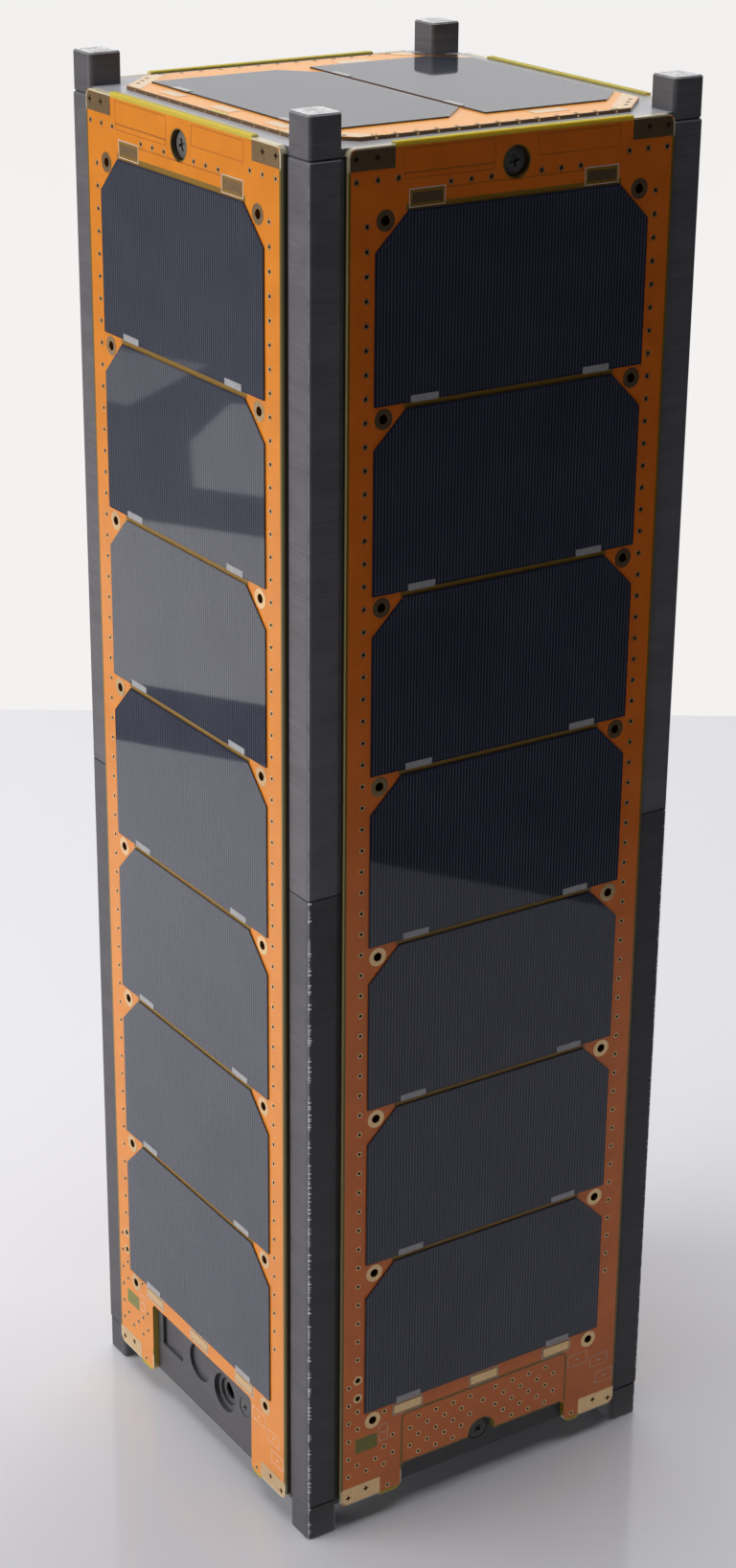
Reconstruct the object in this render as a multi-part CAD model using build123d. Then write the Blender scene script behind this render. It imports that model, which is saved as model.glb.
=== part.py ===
from build123d import *
import os

# A three-unit cube satellite mock-up in millimetres: +Z up, origin under the middle of its four feet
# The front faces -Y, and each side's pieces are drawn on the front and turned about Z to their side

# Printed frame
body_width = 100.0
total_height = 340.5
foot_height = 7.3
rail_width = 8.5
foot_inset = 0.15
rail_edge_radius = 1.0
rail_inner_radius = 1.2
foot_end_chamfer = 0.4
cap_seam_chamfer = 0.4
middle_seam_chamfer = 0.2
cap_rim = 1.9
wall = 2.5
channel_depth = 0.5
skirt_height = 22.0
skirt_clearance = 0.2

# Side boards
board_thickness = 1.6
board_clearance = 0.2
board_rise = 0.6
board_drop = 0.9
board_lug = 0.55
board_corner_radius = 2.0
corner_pad_width = 11.2
left_lobe_width = 6.3
right_lobe_width = 4.5
cut_radius = 1.5
cut_foot_radius = 2.0
open_cut_height = 20.8
closed_cut_height = 6.7

# Screws through the side boards
screw_hole_radius = 3.3
screw_edge_distance = 6.8
notch_radius = 3.8
notch_edge_distance = 7.2
screw_pocket_radius = 2.9
screw_pocket_depth = 1.2

# Solar cells on the side boards, with the plated holes at their cut corners
cell_rows = 7
cell_gap = 1.25
cell_thickness = 0.35
cell_chamfer = 8.0
cell_side_margin = 6.5
cell_top_margin = 14.0
cell_low_margin = 25.5
plated_hole_radius = 1.2
plated_hole_sides = 8
plated_hole_inset = 2.45
plated_hole_drop = 1.6

# Top board and its two cells
top_board_margin = 5.4
top_board_thickness = 0.8
top_board_chamfer = 10.3
top_cell_near_margin = 6.6
top_cell_far_margin = 1.25
top_cell_end_margin = 9.8

# Recesses in the skirt of the open side, placed from its middle and from the seam of the base cap
port_size = 10.2
port_depth = 0.9
port_corner_radius = 0.6
port_level = 11.9
square_port_offset = -16.2
round_port_offset = -2.3
stepped_port_offset = 9.9
stepped_port_level = 9.9
stepped_port_depth = 1.2
step_radius = 3.6
step_depth = 0.7
stepped_hole_radius = 2.2
flush_screw_offset = 19.8
flush_screw_level = 11.4
flush_screw_radius = 2.5

# Levels and planes that follow from the sizes above
half_width = body_width / 2
post_centre = half_width - rail_width / 2
channel_plane = half_width - channel_depth
inner_plane = channel_plane - wall
deck_level = total_height - foot_height
low_seam = foot_height + cap_rim
high_seam = deck_level - cap_rim
middle_seam = total_height / 2
skirt_half = half_width - rail_width - skirt_clearance
board_half = half_width - rail_width - board_clearance
board_face = channel_plane + board_thickness
board_low = foot_height - board_drop
board_high = deck_level + board_rise
lug_half = board_half - corner_pad_width
cut_left = lug_half - left_lobe_width
cut_right = lug_half - right_lobe_width
high_screw_level = board_high - screw_edge_distance
low_screw_level = board_low + notch_edge_distance
cell_width = 2 * (board_half - cell_side_margin)
first_cell_top = board_high - cell_top_margin
cell_column = first_cell_top - board_low - cell_low_margin
cell_height = (cell_column - (cell_rows - 1) * cell_gap) / cell_rows
cell_pitch = cell_height + cell_gap
top_board_half = half_width - top_board_margin
top_cell_row = 2 * top_board_half - top_cell_near_margin - top_cell_far_margin
top_cell_height = (top_cell_row - cell_gap) / 2
top_cell_width = 2 * (top_board_half - top_cell_end_margin)

# Turn of each side about Z, and the side whose board is open at its lower end
side_turns = {"front": 0, "right": 90, "rear": 180, "left": -90}
open_side = "left"


def on_side(distance, sketch, depth):
    """A sketch of a side's width and height, extruded outward from a distance off the middle."""
    return extrude(Plane.XZ.offset(distance) * sketch, depth)


def corner_posts(width, low, high, low_chamfer, high_chamfer):
    """Four square posts with rounded edges, the outermost edge rounded most, and broken ends."""
    outline = Pos(post_centre, post_centre) * Rectangle(width, width)
    other_corners = outline.vertices().sort_by_distance((0, 0, 0))[:-1]
    outline = fillet(other_corners, rail_inner_radius)
    outer_corner = outline.vertices().sort_by_distance((0, 0, 0))[-1]
    outline = fillet(outer_corner, rail_edge_radius)
    post = Pos(0, 0, low) * extrude(outline, high - low)
    post = chamfer(post.faces().sort_by(Axis.Z)[0].edges(), low_chamfer)
    post = chamfer(post.faces().sort_by(Axis.Z)[-1].edges(), high_chamfer)
    return [Rot(0, 0, 90 * turn) * post for turn in range(4)]


def square_outline(half):
    """A square across the four sides, its corners cut back so that they end inside the posts."""
    outline = Rectangle(2 * half, 2 * half)
    return chamfer(outline.vertices(), rail_width / 2)


def skirt_walls(low, high):
    """Four walls between the corner posts, flush with the channels that the boards lie in."""
    outline = Pos(0, (low + high) / 2) * Rectangle(2 * skirt_half, high - low)
    skirt = on_side(inner_plane, outline, wall)
    return [Rot(0, 0, turn) * skirt for turn in side_turns.values()]


def screw_seat(offset, level, radius):
    """The round pocket that a screw's head sits in, drawn on the front side."""
    outline = Pos(offset, level) * Circle(radius)
    return on_side(channel_plane - screw_pocket_depth, outline, screw_pocket_depth)


def make_cap(plate_low, plate_high, posts, walls, screw_level, screw_sides):
    """A printed end cap: plate, feet, and a skirt that slides between the rails."""
    cap = Pos(0, 0, plate_low) * extrude(square_outline(channel_plane), plate_high - plate_low)
    cap = cap + posts + walls
    seat = screw_seat(0, screw_level, screw_pocket_radius)
    return cap - [Rot(0, 0, side_turns[side]) * seat for side in screw_sides]


def make_frame(posts, low, high, notch_low, notch_high):
    """Half of the printed frame: four rails with walls between, open where a cap's skirt slides in."""
    tube = square_outline(channel_plane) - square_outline(inner_plane)
    frame = Pos(0, 0, low) * extrude(tube, high - low)
    notch_outline = Pos(0, (notch_low + notch_high) / 2) * Rectangle(2 * skirt_half, notch_high - notch_low)
    notch = on_side(inner_plane, notch_outline, wall)
    frame = frame - [Rot(0, 0, turn) * notch for turn in side_turns.values()]
    return frame + posts


def make_ports():
    """The square, round and stepped recesses and the flush screw's seat, drawn on the front side."""
    square = Pos(square_port_offset, low_seam + port_level) * RectangleRounded(
        port_size, port_size, port_corner_radius)
    round_place = Pos(round_port_offset, low_seam + port_level)
    stepped_place = Pos(stepped_port_offset, low_seam + stepped_port_level)
    step_floor = stepped_port_depth + step_depth
    ports = on_side(channel_plane - port_depth, square, port_depth)
    ports += on_side(channel_plane - port_depth, round_place * Circle(port_size / 2), port_depth)
    ports += on_side(channel_plane - stepped_port_depth, stepped_place * Circle(port_size / 2),
                     stepped_port_depth)
    ports += on_side(channel_plane - step_floor, stepped_place * Circle(step_radius), step_floor)
    ports += on_side(inner_plane, stepped_place * Circle(stepped_hole_radius), wall)
    ports += screw_seat(flush_screw_offset, low_seam + flush_screw_level, flush_screw_radius)
    return ports


def board_outline(is_open):
    """A side board seen from outside: end lugs, corner steps, lower cut-out, screw and plated holes."""
    body_height = board_high - board_low - 2 * board_lug
    middle = Pos(0, (board_high + board_low) / 2)
    outline = middle * RectangleRounded(2 * board_half, body_height, board_corner_radius)
    outline += middle * Rectangle(2 * lug_half, board_high - board_low)
    cut_height = open_cut_height if is_open else closed_cut_height
    cut_middle = (cut_right - cut_left) / 2
    outline -= Pos(cut_middle, board_low) * RectangleRounded(cut_left + cut_right, 2 * cut_height, cut_radius)
    low_corners = outline.vertices().group_by(Axis.Y)[0].sort_by(Axis.X)
    outline = fillet(low_corners[1:-1], cut_foot_radius)
    outline -= Pos(0, high_screw_level) * Circle(screw_hole_radius)
    if not is_open:
        outline -= Pos(0, low_screw_level) * Circle(notch_radius)
    hole_reach = cell_width / 2 - plated_hole_inset
    for row in range(cell_rows + 1):
        level = first_cell_top - plated_hole_drop - row * cell_pitch
        for offset in (-hole_reach, hole_reach):
            outline -= Pos(offset, level) * RegularPolygon(plated_hole_radius, plated_hole_sides)
    return outline


def cell_outline(width, height):
    """A solar cell with its two upper corners cut off."""
    outline = Rectangle(width, height)
    upper_corners = outline.vertices().sort_by(Axis.Y)[-2:]
    return chamfer(upper_corners, cell_chamfer)


parts = {}

# End caps
foot_width = rail_width - 2 * foot_inset
low_feet = corner_posts(foot_width, 0, low_seam, foot_end_chamfer, cap_seam_chamfer)
high_feet = corner_posts(foot_width, high_seam, total_height, cap_seam_chamfer, foot_end_chamfer)
low_walls = skirt_walls(low_seam, low_seam + skirt_height)
high_walls = skirt_walls(high_seam - skirt_height, high_seam)
closed_sides = [side for side in side_turns if side != open_side]
base_cap = make_cap(foot_height, low_seam, low_feet, low_walls, low_screw_level, closed_sides)
parts["base_cap"] = base_cap - Rot(0, 0, side_turns[open_side]) * make_ports()
parts["top_cap"] = make_cap(high_seam, deck_level, high_feet, high_walls, high_screw_level, side_turns)

# Two halves of the frame
low_rails = corner_posts(rail_width, low_seam, middle_seam, cap_seam_chamfer, middle_seam_chamfer)
high_rails = corner_posts(rail_width, middle_seam, high_seam, middle_seam_chamfer, cap_seam_chamfer)
parts["frame_lower"] = make_frame(low_rails, low_seam, middle_seam, low_seam, low_seam + skirt_height)
parts["frame_upper"] = make_frame(high_rails, middle_seam, high_seam, high_seam - skirt_height, high_seam)

# Side boards with their cells, counted from the top
for side, turn in side_turns.items():
    board = on_side(channel_plane, board_outline(side == open_side), board_thickness)
    parts[f"board_{side}"] = Rot(0, 0, turn) * board
    for row in range(cell_rows):
        level = first_cell_top - cell_height / 2 - row * cell_pitch
        cell = on_side(board_face, Pos(0, level) * cell_outline(cell_width, cell_height), cell_thickness)
        parts[f"cell_{side}_{row + 1}"] = Rot(0, 0, turn) * cell

# Top board with its two cells, whose cut corners face +X
top_outline = Rectangle(2 * top_board_half, 2 * top_board_half)
top_outline = chamfer(top_outline.vertices(), top_board_chamfer)
parts["board_top"] = Pos(0, 0, deck_level) * extrude(top_outline, top_board_thickness)
top_cell = Rot(0, 0, -90) * extrude(cell_outline(top_cell_width, top_cell_height), cell_thickness)
for number in range(2):
    centre = -top_board_half + top_cell_near_margin + top_cell_height / 2
    centre += number * (top_cell_height + cell_gap)
    parts[f"cell_top_{number + 1}"] = Pos(centre, 0, deck_level + top_board_thickness) * top_cell

os.makedirs("parts", exist_ok=True)
for name, solid in parts.items():
    solid.label = name
    export_step(solid, f"parts/{name}.step")
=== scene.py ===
import math

import bmesh
import bpy
from mathutils import Matrix, Vector


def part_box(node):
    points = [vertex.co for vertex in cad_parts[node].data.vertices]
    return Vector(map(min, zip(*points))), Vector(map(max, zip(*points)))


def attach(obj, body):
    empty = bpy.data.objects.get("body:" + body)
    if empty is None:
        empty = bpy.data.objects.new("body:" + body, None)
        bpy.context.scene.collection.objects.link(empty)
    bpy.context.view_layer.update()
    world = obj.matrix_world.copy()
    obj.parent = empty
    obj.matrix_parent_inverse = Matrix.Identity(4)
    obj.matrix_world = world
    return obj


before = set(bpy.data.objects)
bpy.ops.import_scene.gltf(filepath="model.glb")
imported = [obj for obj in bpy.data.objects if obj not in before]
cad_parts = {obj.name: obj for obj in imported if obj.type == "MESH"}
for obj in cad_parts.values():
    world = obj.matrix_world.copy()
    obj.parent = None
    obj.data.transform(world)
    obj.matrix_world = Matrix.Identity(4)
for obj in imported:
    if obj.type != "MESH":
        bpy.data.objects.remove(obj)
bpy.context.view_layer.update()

# Millimetres, in which the sizes below are written
MM = 0.001

# Each side's own axes: across to its right, outward, and up, as seen from outside
SIDE_AXES = {
    "front": ((1, 0, 0), (0, -1, 0), (0, 0, 1)),
    "right": ((0, 1, 0), (1, 0, 0), (0, 0, 1)),
    "rear": ((-1, 0, 0), (0, 1, 0), (0, 0, 1)),
    "left": ((0, -1, 0), (-1, 0, 0), (0, 0, 1)),
    "top": ((0, -1, 0), (0, 0, 1), (1, 0, 0)),
}
LONG_SIDES = ("front", "right", "rear", "left")
OPEN_SIDE = "left"
CELL_ROWS = 7

# Levels and planes read from the frame, in millimetres
board_low_corner, board_high_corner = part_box("board_front")
BOARD_HALF = board_high_corner.x / MM
BOARD_LOW = board_low_corner.z / MM
BOARD_HIGH = board_high_corner.z / MM
BOARD_FACE = -board_low_corner.y / MM
BOARD_BACK = -board_high_corner.y / MM
cell_low_corner, cell_high_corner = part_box("cell_front_1")
CELL_HALF = cell_high_corner.x / MM
CELL_TOP = cell_high_corner.z / MM
CELL_HEIGHT = (cell_high_corner.z - cell_low_corner.z) / MM
CELL_FACE = -cell_low_corner.y / MM
CELL_PITCH = CELL_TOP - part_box("cell_front_2")[1].z / MM
LAST_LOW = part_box(f"cell_front_{CELL_ROWS}")[0].z / MM
TOP_BOARD_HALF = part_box("board_top")[1].x / MM
TOP_BOARD_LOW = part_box("board_top")[0].z / MM
TOP_BOARD_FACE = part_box("board_top")[1].z / MM
TOP_CELL_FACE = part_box("cell_top_1")[1].z / MM
TOTAL_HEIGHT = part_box("top_cap")[1].z / MM
LOW_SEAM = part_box("frame_lower")[0].z / MM
MIDDLE_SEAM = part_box("frame_upper")[0].z / MM
HIGH_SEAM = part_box("frame_upper")[1].z / MM
RAIL_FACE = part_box("frame_upper")[1].x / MM

# Sizes of the boards' outlines, their bare edges and the cells
LUG_HEIGHT = 0.55
LUG_HALF = 30.1
BARE_HEIGHT = 1.05
PAD_MARGIN = 0.38
SCREW_UP = BOARD_HIGH - 6.8
CUT_LEFT = 23.8
CUT_RIGHT = 25.6
TAB_LOW = 13.1
TAB_TOP = 27.5
NOTCH_UP = BOARD_LOW + 7.2
NOTCH_RADIUS = 3.8
TAB_ROUND = 1.5
CELL_CHAMFER = 8.0

# Width of the painted highlight along the outer edges of the rails, and how far the feet stand back from the
# rails
EDGE_LINE = 0.40
FOOT_INSET = 0.15

# How deep thin trim is sunk, and how far metal and printed lines stand out
SUNK = 0.03
COPPER = 0.06
INK = 0.03


class Shape:
    """Closed solids on one side, with points as (across, outward, up) in millimetres."""

    def __init__(self):
        self.points = []
        self.faces = []

    def prism(self, outline, low, high):
        """A plate whose outline of (across, up) points runs anticlockwise seen from outside."""
        start = len(self.points)
        count = len(outline)
        for outward in (low, high):
            self.points += [(across, outward, up) for across, up in outline]
        self.faces.append([start + count - 1 - i for i in range(count)])
        self.faces.append([start + count + i for i in range(count)])
        for i in range(count):
            j = (i + 1) % count
            self.faces.append([start + i, start + j, start + count + j, start + count + i])

    def plate(self, left, low_edge, right, high_edge, low, high, radius=0.0):
        """A rectangular plate, with rounded corners where a radius is given."""
        self.prism(rounded_outline(left, low_edge, right, high_edge, radius), low, high)

    def disc(self, across, up, radius, low, high, steps=12):
        """A round plate."""
        self.prism([turned(across, up, radius, i / steps) for i in range(steps)], low, high)

    def ring(self, across, up, inner, outer, low, high, steps):
        """A flat ring with a hole through it."""
        start = len(self.points)
        for radius, outward in ((inner, low), (outer, low), (outer, high), (inner, high)):
            for i in range(steps):
                u, v = turned(across, up, radius, i / steps)
                self.points.append((u, outward, v))
        for band in range(4):
            for i in range(steps):
                a = start + band * steps
                b = start + (band + 1) % 4 * steps
                j = (i + 1) % steps
                self.faces.append([a + i, a + j, b + j, b + i])

    def outline_box(self, left, low_edge, right, high_edge, line, low, high):
        """A rectangular line drawing made of four bars."""
        self.plate(left, low_edge, right, low_edge + line, low, high)
        self.plate(left, high_edge - line, right, high_edge, low, high)
        self.plate(left, low_edge + line, left + line, high_edge - line, low, high)
        self.plate(right - line, low_edge + line, right, high_edge - line, low, high)

    def strip(self, path, width, low, high):
        """A line of even width along a path of (across, up) points."""
        left, right = [], []
        for i, (across, up) in enumerate(path):
            before = Vector(path[max(i - 1, 0)])
            after = Vector(path[min(i + 1, len(path) - 1)])
            way = (after - before).normalized()
            normal = Vector((-way.y, way.x)) * width / 2
            left.append((across + normal.x, up + normal.y))
            right.append((across - normal.x, up - normal.y))
        self.prism(right + left[::-1], low, high)

    def piece(self, name, side, material, slot):
        """Makes the collected solids into one object that rides on the satellite."""
        across, outward, up = (Vector(axis) * MM for axis in SIDE_AXES[side])
        mesh = bpy.data.meshes.new(name)
        places = [across * u + outward * w + up * v for u, w, v in self.points]
        mesh.from_pydata(places, [], self.faces)
        finish_piece(mesh, name, material)


def add_object(name, data):
    """A new object in the scene."""
    thing = bpy.data.objects.new(name, data)
    bpy.context.collection.objects.link(thing)
    return thing


def finish_piece(mesh, name, material):
    """Gives a mesh outward faces and its material, and lets it ride on the satellite."""
    work = bmesh.new()
    work.from_mesh(mesh)
    bmesh.ops.recalc_face_normals(work, faces=work.faces)
    work.to_mesh(mesh)
    work.free()
    mesh.materials.append(material)
    piece = add_object(name, mesh)
    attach(piece, "root")


def turned(across, up, radius, share):
    """A point on a circle, at a share of a full turn."""
    angle = share * math.tau
    return across + radius * math.cos(angle), up + radius * math.sin(angle)


def rounded_outline(left, low_edge, right, high_edge, radius):
    """The outline of a rectangle with rounded corners, anticlockwise."""
    steps = 4
    if radius <= 0:
        return [(left, low_edge), (right, low_edge), (right, high_edge), (left, high_edge)]
    centres = [
        (right - radius, low_edge + radius, 0.75),
        (right - radius, high_edge - radius, 0.0),
        (left + radius, high_edge - radius, 0.25),
        (left + radius, low_edge + radius, 0.5),
    ]
    points = []
    for across, up, share in centres:
        points += [turned(across, up, radius, share + 0.25 * i / steps) for i in range(steps + 1)]
    return points


# Materials
class Surface:
    """A material with a principled shader, and short ways to add its nodes."""

    def __init__(self, name, colour, roughness, metallic=0.0):
        self.material = bpy.data.materials.new(name)
        self.material.use_nodes = True
        self.nodes = self.material.node_tree.nodes
        self.links = self.material.node_tree.links
        self.shader = self.nodes["Principled BSDF"]
        self.set(Base_Color=(*colour, 1), Roughness=roughness, Metallic=metallic)
        self.place = self.node("TexCoord", "Object")

    def feed(self, socket, given):
        """Links a socket to an output, or sets it to a constant."""
        if isinstance(given, bpy.types.NodeSocket):
            self.links.new(given, socket)
        else:
            socket.default_value = given

    def feed_all(self, node, values):
        """Feeds a node's sockets by their names, with _ for a space."""
        for name, given in values.items():
            self.feed(node.inputs[name.replace("_", " ")], given)

    def set(self, **values):
        """Feeds sockets of the shader."""
        self.feed_all(self.shader, values)

    def node(self, kind, output, **values):
        """An output of a new node whose sockets are fed."""
        node = self.nodes.new("ShaderNode" + kind)
        self.feed_all(node, values)
        return node.outputs[output]

    def value(self, operation, *numbers):
        """A number worked out from one to three numbers or outputs."""
        node = self.nodes.new("ShaderNodeMath")
        node.operation = operation
        for socket, given in zip(node.inputs, numbers):
            self.feed(socket, given)
        return node.outputs[0]

    def both(self, first, second):
        """The product of two numbers or outputs, 1 where both are 1."""
        return self.value("MULTIPLY", first, second)

    def axis(self, name):
        """One coordinate of the point, in metres."""
        return self.node("SeparateXYZ", name, Vector=self.place)

    def distances(self):
        """How far the point is from the middle along X and along Y, in metres."""
        return [self.value("ABSOLUTE", self.axis(name)) for name in ("X", "Y")]

    def facing(self, name):
        """How far the surface faces along one axis, from -1 to 1."""
        return self.node("SeparateXYZ", name, Vector=self.node("NewGeometry", "Normal"))

    def above(self, value, edge, blur, unit=MM):
        """1 over the edge and 0 under it, with a soft step, in millimetres unless a unit is given."""
        return self.node("MapRange", "Result", Value=value, From_Min=(edge - blur) * unit,
                         From_Max=(edge + blur) * unit)

    def below(self, value, edge, blur):
        """1 under the edge and 0 over it, with a soft step, in millimetres."""
        return self.value("SUBTRACT", 1, self.above(value, edge, blur))

    def between(self, factor, low, high):
        """A number between two limits."""
        return self.node("MapRange", "Result", Value=factor, To_Min=low, To_Max=high)

    def noise(self, scales, detail):
        """Noise with its own scale along each axis, per metre."""
        place = self.node("Mapping", "Vector", Vector=self.place, Scale=scales)
        return self.node("TexNoise", "Fac", Vector=place, Scale=1.0, Detail=detail)

    def ramp(self, factor, dark, light, low=0.3, high=0.7):
        """A colour that goes from dark to light as the factor goes from low to high."""
        node = self.nodes.new("ShaderNodeValToRGB")
        for element, position, colour in zip(node.color_ramp.elements, (low, high), (dark, light)):
            element.position = position
            element.color = (*colour, 1)
        self.feed(node.inputs["Fac"], factor)
        return node.outputs["Color"]

    def mixed(self, factor, first, second):
        """A colour between two colours or colour outputs."""
        node = self.nodes.new("ShaderNodeMix")
        node.data_type = "RGBA"
        self.feed(node.inputs["Factor"], factor)
        for socket, given in ((node.inputs[6], first), (node.inputs[7], second)):
            self.feed(socket, (*given, 1) if isinstance(given, tuple) else given)
        return node.outputs[2]

    def shaded(self, colour, factor, low, high):
        """A colour output scaled by low where the factor is 0, and by high where it is 1."""
        node = self.nodes.new("ShaderNodeVectorMath")
        node.operation = "SCALE"
        self.feed_all(node, {"Vector": colour, "Scale": self.between(factor, low, high)})
        return node.outputs[0]

    def bump(self, height, strength, distance):
        """Fine relief on the shader."""
        self.set(Normal=self.node("Bump", "Normal", Height=height, Strength=strength, Distance=distance))


def layered_grey(surface, height, low_half, layers, blotches):
    """The grey of the plastic, a little darker on the lower half, with painted shade on some faces, its print
    layers and dark seams.
    """
    grey = surface.ramp(blotches, (0.092, 0.089, 0.099), (0.122, 0.118, 0.131))
    front_or_rear = surface.above(surface.value("ABSOLUTE", surface.facing("Y")), 0.8, 0.1, unit=1)
    grey = surface.shaded(grey, low_half, 1.04, 0.78)
    # Painted shade: the front and rear faces of the lower half are darker
    grey = surface.shaded(grey, surface.both(low_half, front_or_rear), 1.0, 0.64)
    # Painted shade: the grey darkens towards the base
    near_base = surface.below(height, 16, 10)
    grey = surface.shaded(grey, near_base, 1.0, 0.75)
    # Painted shade: the left and right faces darken near the top, and more on the feet
    left_or_right = surface.value("SUBTRACT", 1, front_or_rear)
    for level, blur, least in ((270, 50, 0.88), (HIGH_SEAM, 0.1, 0.84)):
        high_part = surface.both(surface.above(height, level, blur), left_or_right)
        grey = surface.shaded(grey, high_part, 1.0, least)
    grey = surface.shaded(grey, layers, 0.66, 1.32)
    for seam in (MIDDLE_SEAM, HIGH_SEAM):
        seam_distance = surface.value("ABSOLUTE", surface.value("SUBTRACT", height, seam * MM))
        in_seam = surface.below(seam_distance, 0.16, 0.06)
        grey = surface.mixed(in_seam, grey, (0.012, 0.011, 0.012))
    return grey


def painted_top_sheen(surface, height):
    """Painted sheen on the upper level faces: even on the deck, and as painted glints along the print strands
    on the feet.
    """
    on_foot = surface.above(height, TOTAL_HEIGHT - 1, 0.1)
    strands = surface.noise((900, 900, 900), detail=3.0)
    foot_glints = surface.ramp(strands, (0.60, 0.60, 0.61), (0.98, 0.98, 1.0), low=0.34, high=0.62)
    return surface.mixed(on_foot, (0.42, 0.42, 0.44), foot_glints)


def painted_edge_highlight(surface, height, low_half):
    """Painted highlight on the outer edges of the rails: a thin line, and print layers that catch the light
    on the lower half.
    """
    across, along = surface.distances()
    inward = surface.value("MINIMUM", across, along)
    patches = surface.above(surface.noise((0, 0, 230), detail=2.0), 0.47, 0.04, unit=1)
    ticks = surface.above(surface.noise((0, 0, 1900), detail=0.0), 0.5, 0.06, unit=1)
    lengths = surface.between(surface.noise((0, 0, 900), detail=1.0), 0.0, 1.0 * MM)
    on_front = surface.above(surface.value("SUBTRACT", along, across), 0.0, 0.1)
    glinting_layers = surface.both(surface.both(patches, ticks), low_half)
    slits = surface.both(surface.both(glinting_layers, on_front), lengths)
    low_foot = surface.below(height, LOW_SEAM, 0.05)
    reach = surface.value("MULTIPLY_ADD", low_foot, FOOT_INSET * MM, surface.value("ADD", inward, slits))
    lit_edge = surface.above(reach, RAIL_FACE - EDGE_LINE, 0.08)
    thin_line = surface.between(patches, 0.26, 0.42)
    return surface.both(lit_edge, surface.value("MAXIMUM", thin_line, glinting_layers))


def printed_plastic():
    """Dark grey printed plastic: fine layers, dark seams, painted shade on some faces, painted sheen on the
    upper level faces and painted highlights on the outer edges.
    """
    surface = Surface("printed_plastic", (0.105, 0.102, 0.108), 0.55)
    height = surface.axis("Z")
    layers = surface.noise((60, 60, 1900), detail=2.0)
    blotches = surface.noise((90, 90, 240), detail=3.0)
    low_half = surface.below(height, MIDDLE_SEAM, 0.2)
    grey = layered_grey(surface, height, low_half, layers, blotches)
    # Upper level faces take a paler grey: painted sheen, with painted glints on the feet
    at_top = surface.above(height, HIGH_SEAM - 1, 0.1)
    upward = surface.both(surface.above(surface.facing("Z"), 0.8, 0.15, unit=1), at_top)
    sheened_grey = surface.mixed(upward, grey, painted_top_sheen(surface, height))
    edge_glint = painted_edge_highlight(surface, height, low_half)
    # The outer edges take a pale grey: painted highlight
    surface.set(Base_Color=surface.mixed(edge_glint, sheened_grey, (0.72, 0.72, 0.73)))
    matte = surface.between(blotches, 0.46, 0.60)
    surface.set(Roughness=surface.both(matte, surface.between(upward, 1.0, 0.55)))
    surface.bump(layers, 0.45, 0.14 * MM)
    return surface.material


def tab_rim(surface, sideways, height):
    """1 on the bare rim of the lower tab, between the legs and around the screw notch."""
    tab_edge = surface.below(height, TAB_LOW + 0.4, 0.08)
    inside_legs = surface.below(sideways, CUT_LEFT + 0.35, 0.08)
    notch_distance = surface.value("SUBTRACT", height, NOTCH_UP * MM)
    notch_distance = surface.value("POWER", surface.value("ABSOLUTE", notch_distance), 2)
    notch_distance = surface.value("MULTIPLY_ADD", sideways, sideways, notch_distance)
    notch_distance = surface.value("SQRT", notch_distance)
    around_notch = surface.below(notch_distance, NOTCH_RADIUS + 0.35, 0.08)
    return surface.value("MAXIMUM", surface.both(tab_edge, inside_legs), around_notch)


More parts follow.
